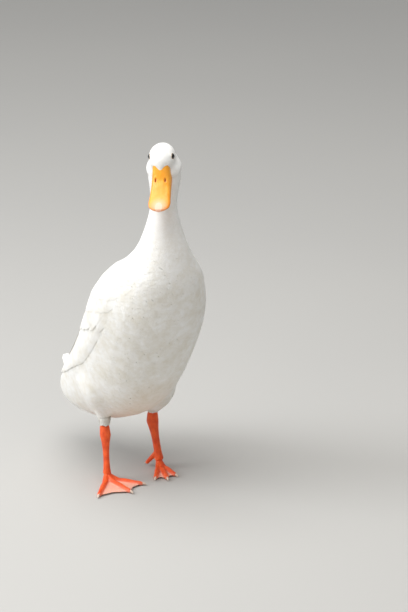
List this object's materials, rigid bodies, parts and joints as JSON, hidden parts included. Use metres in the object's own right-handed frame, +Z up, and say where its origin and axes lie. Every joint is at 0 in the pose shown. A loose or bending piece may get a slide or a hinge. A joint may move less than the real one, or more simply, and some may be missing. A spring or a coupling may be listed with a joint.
{
  "type": "duck",
  "caption": "Life-size white farmyard duck, standing on both webbed feet with its head turned to its right; closed bill, folded wings and short tail; a still model that rests on a floor",
  "frame": {"origin": "on the floor, at the middle of the base of the bounding box", "axes": "+Z up; the duck faces -Y, its tail points to +Y and its left side is +X"},
  "size_m": [0.1714, 0.3388, 0.5317],
  "materials": {
    "plumage": "soft white feathers, matte",
    "bill": "orange-yellow horny skin, satin",
    "nail": "pale pinkish horn, satin",
    "eye": "wet dark eye, high gloss",
    "leg": "orange scaly skin, satin",
    "claw": "pale horn, satin"
  },
  "bodies": {
    "root": {"head": "plumage", "neck_upper": "plumage", "neck_lower": "plumage", "trunk": "plumage", "tail": "plumage", "bill_upper": "bill", "bill_nail": "nail", "bill_lower": "bill", "eye_right": "eye", "wing_right": "plumage", "wing_tip_right": "plumage", "thigh_right": "plumage", "shank_right": "leg", "foot_right": "leg", "hind_toe_right": "leg", "claw_inner_right": "claw", "claw_middle_right": "claw", "claw_outer_right": "claw", "claw_hind_right": "claw", "eye_left": "eye", "wing_left": "plumage", "wing_tip_left": "plumage", "thigh_left": "plumage", "shank_left": "leg", "foot_left": "leg", "hind_toe_left": "leg", "claw_inner_left": "claw", "claw_middle_left": "claw", "claw_outer_left": "claw", "claw_hind_left": "claw"}
  },
  "joints": []
}
